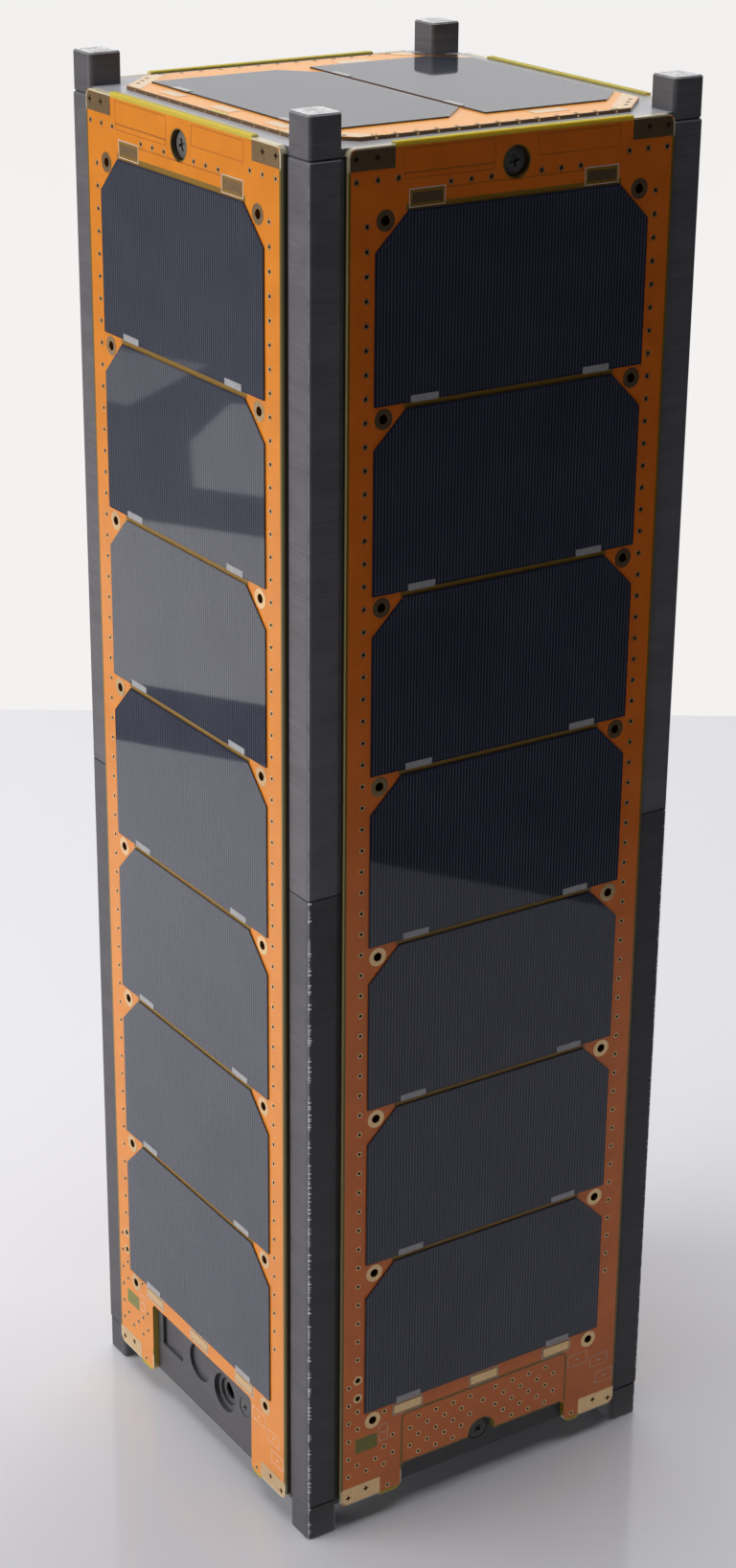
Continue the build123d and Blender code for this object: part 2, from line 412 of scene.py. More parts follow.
def side_board():
    """A side board: orange lacquer on its outward face, with painted light and shade in places, and laminate
    where the lacquer ends.
    """
    surface = Surface("side_board", (0.75, 0.18, 0.016), 0.25)
    across, along = surface.distances()
    height = surface.axis("Z")
    outward = surface.value("MAXIMUM", across, along)
    sideways = surface.value("MINIMUM", across, along)
    on_face = surface.above(outward, BOARD_FACE - 0.02, 0.01)
    in_border = surface.above(sideways, BOARD_HALF - 0.6, 0.08)
    from_middle = surface.value("SUBTRACT", height, (BOARD_HIGH + BOARD_LOW) / 2 * MM)
    reach = (BOARD_HIGH - BOARD_LOW) / 2 - LUG_HEIGHT
    end_distance = surface.value("ABSOLUTE", from_middle)
    on_end = surface.above(end_distance, reach - 0.06, 0.03)
    within_lug = surface.below(sideways, LUG_HALF, 0.05)
    bare_end = surface.above(end_distance, reach + LUG_HEIGHT - BARE_HEIGHT, 0.06)
    on_lug = surface.both(bare_end, within_lug)
    by_pad = surface.above(end_distance, reach - 4.5, 0.5)
    pad_end = surface.above(end_distance, reach - PAD_MARGIN, 0.05)
    on_flank = surface.above(sideways, BOARD_HALF - 0.05, 0.02)
    in_cut = surface.below(height, BOARD_LOW + 25, 1)
    in_rim = surface.value("MAXIMUM", tab_rim(surface, sideways, height), in_border)
    mottle = surface.noise((120, 120, 120), detail=4.0)
    deep_orange = surface.ramp(mottle, (0.68, 0.146, 0.009), (0.76, 0.170, 0.011))
    lit_orange = surface.ramp(mottle, (0.72, 0.226, 0.010), (0.80, 0.258, 0.012))
    # The left and right boards take a paler, yellower copy of the orange: painted light
    left_or_right = surface.above(surface.value("SUBTRACT", across, along), 0, 1)
    # The lugs' yellow is darker at the lower ends: painted shade
    high_end = surface.above(from_middle, 0, 1)
    yellow = surface.mixed(high_end, (0.48, 0.33, 0.015), (0.54, 0.42, 0.020))
    plated = (0.70, 0.63, 0.44)
    face = surface.mixed(left_or_right, deep_orange, lit_orange)
    face = surface.mixed(in_rim, face, surface.mixed(by_pad, (0.18, 0.115, 0.010), plated))
    face = surface.mixed(pad_end, face, plated)
    face = surface.mixed(on_lug, face, yellow)
    # The flanks are near-black deeper in: painted shadow of the rail beside them
    near_face = surface.above(outward, BOARD_FACE - 0.6, 0.25)
    laminate = surface.mixed(by_pad, (0.42, 0.36, 0.16), (0.52, 0.46, 0.30))
    shadowed_flank = surface.mixed(near_face, (0.045, 0.032, 0.012), laminate)
    at_corner = surface.both(by_pad, surface.above(sideways, LUG_HALF + 0.2, 0.1))
    # Bare edges above the cut, the screw hole's wall among them, are near-black: painted shade
    edge = surface.mixed(in_cut, (0.07, 0.045, 0.012), (0.36, 0.27, 0.03))
    edge = surface.mixed(at_corner, edge, (0.56, 0.50, 0.34))
    edge = surface.mixed(on_flank, edge, shadowed_flank)
    edge = surface.mixed(on_end, edge, plated)
    # The lugs' back faces take a duller yellow, as the outer faces' brighter yellow is partly painted glow of
    # light through the laminate
    on_back = surface.below(outward, BOARD_BACK + 0.05, 0.03)
    edge = surface.mixed(on_lug, edge, surface.mixed(on_back, yellow, (0.34, 0.30, 0.085)))
    surface.set(Base_Color=surface.mixed(on_face, edge, face))
    surface.set(Subsurface_Weight=surface.between(on_lug, 0.0, 0.85))
    surface.set(Subsurface_Radius=(1.0, 0.8, 0.15), Subsurface_Scale=2.5 * MM, Specular_IOR_Level=0.62)
    satin = surface.between(mottle, 0.2, 0.3)
    surface.set(Roughness=surface.value("MAXIMUM", satin, surface.between(on_lug, 0.0, 0.6)))
    surface.bump(surface.noise((900, 900, 900), detail=2.0), 0.08, 0.02 * MM)
    return surface.material


def top_board():
    """The top board: its outward face looks up, and its dark edge shows the cut laminate."""
    surface = Surface("top_board", (0.75, 0.21, 0.02), 0.25)
    across, along = surface.distances()
    outward = surface.value("MAXIMUM", across, along)
    mottle = surface.noise((120, 120, 120), detail=4.0)
    # A paler, yellower orange than the side boards' lacquer: painted light on the upward face
    orange = surface.ramp(mottle, (0.97, 0.39, 0.050), (1.0, 0.43, 0.064))
    in_border = surface.above(outward, TOP_BOARD_HALF - 0.35, 0.06)
    on_face = surface.above(surface.axis("Z"), TOP_BOARD_FACE - 0.02, 0.01)
    face = surface.mixed(in_border, orange, (0.42, 0.28, 0.06))
    surface.set(Base_Color=surface.mixed(on_face, (0.16, 0.08, 0.035), face))
    surface.set(Roughness=surface.between(mottle, 0.22, 0.34))
    return surface.material


def under_glass(surface):
    """Puts cover glass over a surface, a little uneven so that reflections waver."""
    surface.set(Specular_IOR_Level=0.05, Coat_Weight=1.0, Coat_Roughness=0.03, Coat_IOR=1.52)
    surface.set(Coat_Tint=(0.90, 0.94, 1.0, 1.0))
    surface.bump(surface.noise((30, 30, 30), detail=1.0), 0.04, 0.3 * MM)


def solar_cell():
    """Dark blue cell under cover glass."""
    surface = Surface("solar_cell", (0.015, 0.018, 0.038), 0.4)
    clouds = surface.noise((22, 22, 22), detail=2.0)
    surface.set(Base_Color=surface.ramp(clouds, (0.012, 0.014, 0.032), (0.018, 0.022, 0.045)))
    under_glass(surface)
    return surface.material


def grid_finger(name, dark, light):
    """Grey grid fingers under the same glass."""
    surface = Surface(name, light, 0.3, metallic=0.15)
    tarnish = surface.noise((60, 60, 60), detail=3.0)
    surface.set(Base_Color=surface.ramp(tarnish, dark, light))
    under_glass(surface)
    return surface.material


def plain_metal(name, dark, light, low_rough, high_rough, metallic=1.0):
    """A metal with a mottled colour and finish."""
    surface = Surface(name, light, high_rough, metallic)
    mottle = surface.noise((700, 700, 700), detail=3.0)
    surface.set(Base_Color=surface.ramp(mottle, dark, light))
    surface.set(Roughness=surface.between(mottle, low_rough, high_rough))
    surface.bump(mottle, 0.05, 0.02 * MM)
    return surface.material


def plain_ink(name, dark, light, roughness, gloss=0.5):
    """A thin printed or bare layer with a slightly uneven colour."""
    surface = Surface(name, light, roughness)
    surface.set(Specular_IOR_Level=gloss)
    mottle = surface.noise((1500, 1500, 1500), detail=2.0)
    surface.set(Base_Color=surface.ramp(mottle, dark, light))
    return surface.material


def studio_axis(surface, right, ahead):
    """A point's distance in metres along a level direction of the studio, given to its right and ahead."""
    x, y, _ = level_point(right, ahead, 0)
    along_y = surface.both(surface.axis("Y"), y)
    return surface.value("MULTIPLY_ADD", surface.axis("X"), x, along_y)


def floor_material():
    """Pale glossy table top, with painted shade that darkens its near side."""
    surface = Surface("pale_floor", (0.78, 0.78, 0.83), 0.2)
    beyond_floor_shade = surface.above(studio_axis(surface, 0, 1), FLOOR_SHADE_EDGE, FLOOR_SHADE_BLUR, unit=1)
    surface.set(Base_Color=surface.mixed(beyond_floor_shade, (0.61, 0.61, 0.655), (0.89, 0.89, 0.93)))
    smears = surface.noise((4, 4, 4), detail=3.0)
    surface.set(Roughness=surface.between(smears, 0.08, 0.13))
    return surface.material


def glowing(name, light, strength=1.0):
    """A black surface that glows evenly."""
    surface = Surface(name, (0.0, 0.0, 0.0), 1.0)
    surface.set(Emission_Color=(*light, 1.0), Emission_Strength=strength)
    return surface


# Finishes of the solids and of the trim
PLASTIC = printed_plastic()
SIDE_BOARD = side_board()
TOP_BOARD = top_board()
CELL = solar_cell()
GOLD = plain_metal("gold_plating", (0.80, 0.53, 0.27), (0.88, 0.61, 0.33), 0.17, 0.22)
VIA_GOLD = plain_metal("via_gold", (0.80, 0.53, 0.27), (0.88, 0.61, 0.33), 0.28, 0.36, metallic=0.88)
SILVER = plain_metal("silver_tab", (0.32, 0.32, 0.335), (0.40, 0.40, 0.415), 0.35, 0.45, metallic=0.1)
BRIGHT_SILVER = plain_metal("bright_tab", (0.46, 0.46, 0.475), (0.56, 0.56, 0.575), 0.25, 0.35,
                            metallic=0.8)
FINGER = grid_finger("grid_finger", (0.076, 0.080, 0.095), (0.102, 0.106, 0.121))
TOP_FINGER = grid_finger("top_finger", (0.032, 0.036, 0.050), (0.042, 0.046, 0.060))
STEEL = plain_metal("screw_steel", (0.10, 0.097, 0.094), (0.14, 0.136, 0.132), 0.45, 0.6, metallic=0.2)
BLACK_SCREW = plain_metal("black_screw", (0.050, 0.049, 0.052), (0.080, 0.078, 0.082), 0.45, 0.6, 0.2)
GREY_SCREW = plain_metal("grey_screw", (0.085, 0.083, 0.087), (0.115, 0.112, 0.117), 0.45, 0.6, 0.2)
# Dark discs and crosses set in holes: painted shade
HOLE_SHADE = plain_ink("painted_hole_shade", (0.014, 0.008, 0.003), (0.024, 0.013, 0.004), 0.9, gloss=0.05)
WHITE_INK = plain_ink("white_ink", (0.62, 0.47, 0.40), (0.76, 0.60, 0.52), 0.6)
FAINT_INK = plain_ink("faint_ink", (0.72, 0.45, 0.33), (0.82, 0.55, 0.43), 0.5)
TRACE = plain_ink("covered_trace", (0.34, 0.10, 0.010), (0.42, 0.13, 0.014), 0.3)
OLIVE = plain_ink("bare_laminate", (0.22, 0.122, 0.010), (0.28, 0.152, 0.014), 0.35)
GREEN = plain_ink("green_laminate", (0.17, 0.165, 0.022), (0.21, 0.205, 0.030), 0.35)
YELLOW = plain_ink("yellow_laminate", (0.55, 0.45, 0.08), (0.68, 0.56, 0.10), 0.4)

# Every solid takes its finish by its name
for node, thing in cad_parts.items():
    if node == "board_top":
        finish = TOP_BOARD
    elif node.startswith("board"):
        finish = SIDE_BOARD
    elif node.startswith("cell"):
        finish = CELL
    else:
        finish = PLASTIC
    thing.data.materials.clear()
    thing.data.materials.append(finish)

# Details of a side board: places are across from its middle and up from the floor
VIA_INNER = 0.42
VIA_OUTER = 0.70
TEST_INNER = 0.70
TEST_OUTER = 1.30
OVERLAP = 0.03
MARGIN_COLUMN = 36.8
MARGIN_TOP = 317.39
MARGIN_PITCH = 5.088
MARGIN_COUNT = 54
RING_INNER = 1.1
RING_OUTER = 2.25
RING_INSET = 2.45
RING_DROP = 1.6
BARREL_WALL = 0.04
BARREL_LOW = 0.10
PLUG_LOW = 0.02
PLUG_HIGH = 0.15
TAB_REACH = 22.3
TAB_WIDTH = 6.9
TAB_HEIGHT = 1.4
TAB_OVERHANG = 0.1
TAB_SUNK = 0.02
TAB_RISE = 0.08
TAB_CORNER = 0.15
FINGER_PITCH = 0.812
FINGER_WIDTH = 0.34
FINGER_BORDER = 0.4
FINGER_LOW = 0.30
FINGER_HIGH = 0.35
FINGER_SUNK = 0.01
FINGER_RISE = 0.015
PAD_REACH = 22.2
UPPER_PAD_HALF = 4.45
UPPER_PAD_RISE = (0.35, 4.25)
UPPER_PAD_INSET = (0.75, 0.85)
LOWER_PAD_HALF = 4.4
LOWER_PAD_DROP = (4.0, 0.55)
LOWER_PAD_INSET = (0.45, 0.55)
LOWER_PAD_MIDDLES = (-PAD_REACH, 0.3, PAD_REACH + 0.2)
UPPER_CORNER_PAD = 4.2
LOWER_CORNER_PAD = 4.5
PAD_ROUND = 1.6
CROSS_ARM = 0.75
CROSS_HALF = 0.11
PAD_LINE = 0.22
BOX_LINE = 0.20
BOX_MARK = (0.5, 0.25)
TRACE_LINE = 0.16
RUN_REACH = PAD_REACH - 4.6
RUN_RISE = (3.65, 3.85)
STRIP_REACH = CELL_HALF - CELL_CHAMFER + 0.6
STRIP_GAP = 0.02
TOP_STRIP = 1.2
SCREW_RIM = (3.3, 3.62)
ROUTE_WIDTH = 0.55
ROUTE_DROP = 0.2
ROUTE_RISE = 0.5
WINDOW = (-37.2, 21.0, -31.0, 25.0)

# Rows of small vias near the ends of every side board: up, then the places across
UPPER_VIAS = [
    (326.5, (-39.4, -34.3, -29.3, 29.3, 34.3, 39.4)),
    (324.6, (-16.5, -11.4, -6.4, 6.4, 11.4, 16.5)),
]
LEG_VIAS = [
    (40.6, (-39.2,)),
    (35.5, (-39.2,)),
    (33.0, (-36.7,)),
    (30.4, (-39.2, -29.0)),
    (28.0, (-36.7,)),
    (25.3, (-39.2,)),
    (22.7, (-26.5,)),
    (20.2, (-39.2, -29.0)),
    (17.6, (-36.7, -31.5, -26.5)),
    (15.1, (-39.2, -34.1, -29.0)),
    (8.5, (-27.8, 28.0)),
]
# Rows of vias on the closed tab, with room around its screw notch: up, then the places across
INNER_COLUMNS = (-18.9, -13.8, -8.7, -3.6, 4.0, 9.1, 14.2, 19.3)
OUTER_COLUMNS = (-21.4, -16.3, -11.2, -6.2, 6.5, 11.6, 16.7, 21.8)
TAB_VIAS = [
    (25.3, INNER_COLUMNS),
    (22.7, OUTER_COLUMNS + (0.2,)),
    (20.1, INNER_COLUMNS),
    (17.6, OUTER_COLUMNS),
    (15.0, INNER_COLUMNS[:3] + INNER_COLUMNS[-3:]),
]
# Cross-shaped holes in the corner pads: across and up
PAD_CROSSES = [
    (-39.2, 9.0), (-34.1, 10.0), (34.7, 10.0), (39.6, 8.8),
    (-39.5, 331.1), (-34.4, 331.1), (34.4, 331.1), (39.5, 331.1),
]
# Test points: across and up
TEST_POINTS = [(-36.7, 41.9), (-36.7, 36.8)]
# Outlined part places near the lower corners: left, low, right and high edge
WHITE_BOXES = [
    (-30.5, 22.1, -27.9, 26.8),
    (26.3, 22.3, 32.3, 25.8),
    (33.2, 19.9, 38.8, 23.3),
    (35.1, 14.6, 40.7, 18.1),
]
# Name boxes left bare near the upper end: left, low, right and high edge
BARE_BOXES = [
    (-28.0, 327.3, -5.4, 332.3),
    (-28.0, 326.0, -5.4, 327.3),
    (5.4, 327.7, 26.8, 332.2),
]


def side_vias(side):
    """Places of all small vias of one side board, as (across, up)."""
    places = [(reach, MARGIN_TOP - row * MARGIN_PITCH) for row in range(MARGIN_COUNT)
              for reach in (-MARGIN_COLUMN, MARGIN_COLUMN)]
    rows = UPPER_VIAS + LEG_VIAS
    if side != OPEN_SIDE:
        rows = rows + TAB_VIAS
    for up, columns in rows:
        places += [(across, up) for across in columns]
    return places


def cross_outline(across, up):
    """The outline of an upright cross, anticlockwise."""
    arm, half = CROSS_ARM, CROSS_HALF
    corners = [(arm, -half), (arm, half), (half, half), (half, arm), (-half, arm), (-half, half),
               (-arm, half), (-arm, -half), (-half, -half), (-half, -arm), (half, -arm), (half, -half)]
    return [(across + u, up + v) for u, v in corners]


def add_vias(side):
    """Small plated vias and larger test points: a gold ring around a dark disc of painted shade in the hole.
    """
    rings, holes = Shape(), Shape()
    low, high, floor = BOARD_FACE - SUNK, BOARD_FACE + COPPER, BOARD_FACE + SUNK / 2
    for across, up in side_vias(side):
        rings.ring(across, up, VIA_INNER, VIA_OUTER, low, high, steps=10)
        holes.disc(across, up, VIA_INNER + OVERLAP, low, floor, steps=8)
    for across, up in TEST_POINTS:
        rings.ring(across, up, TEST_INNER, TEST_OUTER, low, high, steps=20)
        holes.disc(across, up, TEST_INNER + OVERLAP, low, floor, steps=16)
    rings.piece(f"via_rings_{side}", side, VIA_GOLD, "gold_plating")
    holes.piece(f"via_holes_{side}", side, HOLE_SHADE, "circuit_board")


def add_rings(side):
    """Large plated holes: a gold ring on the face with its barrel in the hole, and painted shade at its
    bottom.
    """
    rings, floors = Shape(), Shape()
    reach = CELL_HALF - RING_INSET
    for row in range(CELL_ROWS + 1):
        up = CELL_TOP - RING_DROP - row * CELL_PITCH
        for across in (-reach, reach):
            rings.ring(across, up, RING_INNER, RING_OUTER, BOARD_FACE - SUNK, BOARD_FACE + COPPER, steps=28)
            rings.ring(across, up, RING_INNER - BARREL_WALL, RING_INNER + OVERLAP, BOARD_BACK + BARREL_LOW,
                       BOARD_FACE + COPPER / 2, steps=28)
            floors.disc(across, up, RING_INNER, BOARD_BACK + PLUG_LOW, BOARD_BACK + PLUG_HIGH, steps=16)
    rings.piece(f"plated_rings_{side}", side, GOLD, "gold_plating")
    floors.piece(f"plated_floors_{side}", side, HOLE_SHADE, "circuit_board")


def pad_boxes():
    """Outlined pads of a side board: left, low, right and high edge, and the pad's inset across and up."""
    low, high = (CELL_TOP + rise for rise in UPPER_PAD_RISE)
    boxes = [(middle - UPPER_PAD_HALF, low, middle + UPPER_PAD_HALF, high, *UPPER_PAD_INSET)
             for middle in (-PAD_REACH, PAD_REACH)]
    low, high = (LAST_LOW - drop for drop in LOWER_PAD_DROP)
    boxes += [(middle - LOWER_PAD_HALF, low, middle + LOWER_PAD_HALF, high, *LOWER_PAD_INSET)
              for middle in LOWER_PAD_MIDDLES]
    return boxes


def pad_outline(across, low_edge, high_edge, end, edge):
    """A corner pad's outline, anticlockwise, rounded where it follows the board's own corner."""
    steps = 5
    middle = edge - PAD_ROUND
    level = high_edge - PAD_ROUND if end > 0 else low_edge + PAD_ROUND
    first = 0.0 if end > 0 else 0.75
    arc = [turned(middle, level, PAD_ROUND, first + 0.25 * i / steps) for i in range(steps + 1)]
    if end > 0:
        points = [(LUG_HALF, low_edge), (edge, low_edge)] + arc + [(LUG_HALF, high_edge)]
    else:
        points = [(LUG_HALF, low_edge)] + arc + [(edge, high_edge), (LUG_HALF, high_edge)]
    return points if across > 0 else [(-u, v) for u, v in points[::-1]]


def add_pads(side):
    """Gold pads at the corners with their cross-shaped holes drawn dark as painted shade, and above and below
    the cells.
    """
    pads, crosses = Shape(), Shape()
    low, high = BOARD_FACE - SUNK, BOARD_FACE + COPPER
    upper = BOARD_HIGH - LUG_HEIGHT - PAD_MARGIN
    lower = BOARD_LOW + LUG_HEIGHT + PAD_MARGIN
    edge = BOARD_HALF - PAD_MARGIN
    for across in (-1, 1):
        pads.prism(pad_outline(across, upper - UPPER_CORNER_PAD, upper, 1, edge), low, high)
        pads.prism(pad_outline(across, lower, lower + LOWER_CORNER_PAD, -1, edge), low, high)
    for left, low_edge, right, high_edge, across_inset, up_inset in pad_boxes():
        pads.plate(left + across_inset, low_edge + up_inset, right - across_inset, high_edge - up_inset,
                   low, high)
    for across, up in PAD_CROSSES:
        crosses.prism(cross_outline(across, up), high - SUNK, high + INK)
        crosses.disc(across, up, VIA_INNER, high - SUNK, high + INK * 1.2)
    pads.piece(f"gold_pads_{side}", side, GOLD, "gold_plating")
    crosses.piece(f"pad_crosses_{side}", side, HOLE_SHADE, "circuit_board")


def add_ink(side):
    """White outlines around the pads, and fainter ones around part places with a small mark in each."""
    outlines, boxes = Shape(), Shape()
    low, high = BOARD_FACE - SUNK, BOARD_FACE + INK
    for *box, _, _ in pad_boxes():
        outlines.outline_box(*box, PAD_LINE, low, high)
    for left, low_edge, right, high_edge in WHITE_BOXES:
        boxes.outline_box(left, low_edge, right, high_edge, BOX_LINE, low, high)
        middle = (left + right) / 2
        level = (low_edge + high_edge) / 2
        wide, tall = BOX_MARK
        boxes.plate(middle - wide, level - tall, middle + wide, level + tall, low, high)
    outlines.piece(f"white_outlines_{side}", side, WHITE_INK, "circuit_board")
    boxes.piece(f"part_outlines_{side}", side, FAINT_INK, "circuit_board")


def add_traces(side):
    """Lines under the lacquer: the bare name boxes and the run between the upper pads."""
    lines = Shape()
    low, high = BOARD_FACE - SUNK, BOARD_FACE + INK / 2
    for box in BARE_BOXES:
        lines.outline_box(*box, TRACE_LINE, low, high)
    run_low, run_high = (CELL_TOP + rise for rise in RUN_RISE)
    lines.plate(-RUN_REACH, run_low, RUN_REACH, run_high, low, high)
    lines.piece(f"covered_lines_{side}", side, TRACE, "circuit_board")


def tab_path():
    """The routed line around the closed lower tab."""
    steps = 5
    level = TAB_TOP - TAB_ROUND
    points = [(-CUT_LEFT, TAB_LOW), (-CUT_LEFT, level)]
    for i in range(1, steps + 1):
        points.append(turned(-CUT_LEFT + TAB_ROUND, level, TAB_ROUND, 0.5 - 0.25 * i / steps))
    for i in range(steps + 1):
        points.append(turned(CUT_RIGHT - TAB_ROUND, level, TAB_ROUND, 0.25 - 0.25 * i / steps))
    return points + [(CUT_RIGHT, TAB_LOW)]


def add_bare_strips(side):
    """Olive strips between the cells, under the pads, around the screw hole and around the lower tab."""
    strips, window = Shape(), Shape()
    low, high = BOARD_FACE - SUNK, BOARD_FACE + INK / 2
    reach, gap = STRIP_REACH, STRIP_GAP
    strips.plate(-reach, CELL_TOP + gap, reach, CELL_TOP + TOP_STRIP, low, high - INK / 8)
    for row in range(CELL_ROWS - 1):
        top = CELL_TOP - CELL_HEIGHT - row * CELL_PITCH
        strips.plate(-reach, CELL_TOP - (row + 1) * CELL_PITCH + gap, reach, top - gap, low, high)
    for *box, _, _ in pad_boxes():
        strips.plate(*box, low, high + INK / 8)
    strips.ring(0, SCREW_UP, *SCREW_RIM, low, high, steps=40)
    if side != OPEN_SIDE:
        strips.strip(tab_path(), ROUTE_WIDTH, low, high)
        strips.plate(-CUT_LEFT + TAB_ROUND, TAB_TOP - ROUTE_DROP, CUT_RIGHT - TAB_ROUND, TAB_TOP + ROUTE_RISE,
                     low, high - INK / 8)
    window.plate(*WINDOW, low, high)
    strips.piece(f"bare_strips_{side}", side, OLIVE, "circuit_board")
    window.piece(f"bare_window_{side}", side, GREEN, "circuit_board")


def cell_details(name, side, low_edge, high_edge, face, finger=FINGER, tab=SILVER):
    """Grid fingers and the two silver tabs of one cell, whose cut corners are at its upper edge."""
    fingers, tabs = Shape(), Shape()
    count = int(2 * (CELL_HALF - FINGER_BORDER) / FINGER_PITCH)
    for number in range(count + 1):
        offset = (number - count / 2) * FINGER_PITCH
        cut = max(0.0, abs(offset) - (CELL_HALF - CELL_CHAMFER))
        fingers.plate(offset - FINGER_WIDTH / 2, low_edge + FINGER_LOW, offset + FINGER_WIDTH / 2,
                      high_edge - FINGER_HIGH - cut, face - FINGER_SUNK, face + FINGER_RISE)
    for across in (-TAB_REACH, TAB_REACH):
        tabs.plate(across - TAB_WIDTH / 2, low_edge - TAB_OVERHANG, across + TAB_WIDTH / 2,
                   low_edge + TAB_HEIGHT, face - TAB_SUNK, face + TAB_RISE, radius=TAB_CORNER)
    fingers.piece(f"grid_{name}", side, finger, "solar_cell")
    tabs.piece(f"tabs_{name}", side, tab, "silver_tab")


def screw_mesh(radius, dome, depth, arm, name):
    """A cross-recessed screw head whose axis is +Z, its rim at zero height."""
    work = bmesh.new()
    bevel = 0.12
    steps = 40
    profile = [(radius, -depth), (radius, -bevel), (radius - bevel, 0.0)]
    for i in range(1, 6):
        angle = i * math.pi / 12
        profile.append((radius * math.cos(angle), dome * math.sin(angle)))
    rows = []
    for r, z in profile:
        circle = [turned(0, 0, r, i / steps) for i in range(steps)]
        rows.append([work.verts.new((x, y, z)) for x, y in circle])
    for low, high in zip(rows, rows[1:]):
        for i in range(steps):
            j = (i + 1) % steps
            work.faces.new((low[i], low[j], high[j], high[i]))
    work.faces.new(rows[-1])
    work.faces.new(rows[0][::-1])
    head = bpy.data.meshes.new(name)
    work.to_mesh(head)
    work.free()
    cutter = bpy.data.meshes.new(name + "_cut")
    work = bmesh.new()
    blade = arm * 0.25
    for turn in (0, 90):
        box = bmesh.ops.create_cube(work, size=1.0)["verts"]
        bmesh.ops.scale(work, vec=(2 * arm, 2 * blade, 2.0), verts=box)
        bmesh.ops.translate(work, vec=(0, 0, dome + 0.25), verts=box)
        bmesh.ops.rotate(work, matrix=Matrix.Rotation(math.radians(turn), 3, "Z"), verts=box)
    work.to_mesh(cutter)
    work.free()
    return head, cutter


def add_screw(name, side, across, up, outward, radius, dome, depth, arm, spin, material):
    """A screw seated in a side, its rim at the given distance outward."""
    head, cutter = screw_mesh(radius, dome, depth, arm, name)
    screw = add_object(name, head)
    tool = add_object(name + "_tool", cutter)
    cut = screw.modifiers.new("cross", "BOOLEAN")
    cut.object = tool
    cut.operation = "DIFFERENCE"
    cut.solver = "EXACT"
    cut.use_self = True
    bpy.context.view_layer.update()
    shaped = bpy.data.meshes.new_from_object(screw.evaluated_get(bpy.context.evaluated_depsgraph_get()))
    bpy.data.objects.remove(screw)
    bpy.data.objects.remove(tool)
    axes = [Vector(axis) for axis in SIDE_AXES[side]]
    place = Matrix.Identity(4)
    for column, axis in enumerate((axes[0], axes[2], axes[1])):
        place.col[column] = (*axis, 0)
    origin = (axes[0] * across + axes[1] * outward + axes[2] * up) * MM
    shaped.transform(Matrix.Translation(origin) @ place @ Matrix.Rotation(math.radians(spin), 4, "Z")
                     @ Matrix.Scale(MM, 4))
    shaped.materials.clear()
    finish_piece(shaped, name, material)


for index, side in enumerate(LONG_SIDES):
    add_vias(side)
    add_rings(side)
    add_pads(side)
    add_ink(side)
    add_traces(side)
    add_bare_strips(side)
    for row in range(CELL_ROWS):
        high_edge = CELL_TOP - row * CELL_PITCH
        cell_details(f"{side}_{row + 1}", side, high_edge - CELL_HEIGHT, high_edge, CELL_FACE)
    add_screw(f"upper_screw_{side}", side, 0, SCREW_UP, BOARD_BACK + 0.3, radius=3.05, dome=0.5, depth=0.28,
              arm=1.35, spin=12 + 31 * index, material=STEEL)
    if side != OPEN_SIDE:
        add_screw(f"lower_screw_{side}", side, 0, NOTCH_UP, BOARD_BACK - 0.1, radius=2.75, dome=0.15,
                  depth=0.9, arm=1.05, spin=40 + 23 * index, material=BLACK_SCREW)
add_screw("flush_screw", OPEN_SIDE, 19.8, 20.6, BOARD_BACK - 0.2, radius=2.47, dome=0.12, depth=0.8,
          arm=0.85, spin=20, material=GREY_SCREW)

# Top board: pads at its cut corners and margins, and the details of its two cells
TOP_CHAMFER = 10.3
CORNER_STRIP = 5.6
CORNER_MARGIN = 0.3
CORNER_VIA_BACK = 0.9
TOP_VIA_REACH = 43.7
TOP_VIA_PITCH = 5.08
TOP_VIA_ROWS = range(-6, 7)
MARK_LEFT = 2.0
MARK_RIGHT = 8.0
MARK_DEPTH = 1.5
EDGE_MARK_HALF = 0.3
EDGE_MARK_RISE = 0.22
EDGE_MARK_ROUND = 0.2
# Pads in the margins of the top board: left, low, right and high edge
TOP_PADS = [
    (-23.8, -42.6, -15.8, -39.2),
    (-1.8, -42.6, 6.2, -39.2),
    (20.2, -42.6, 28.2, -39.2),
    (-40.1, 12.6, -36.3, 21.4),
    (36.3, 12.6, 40.1, 21.4),
]


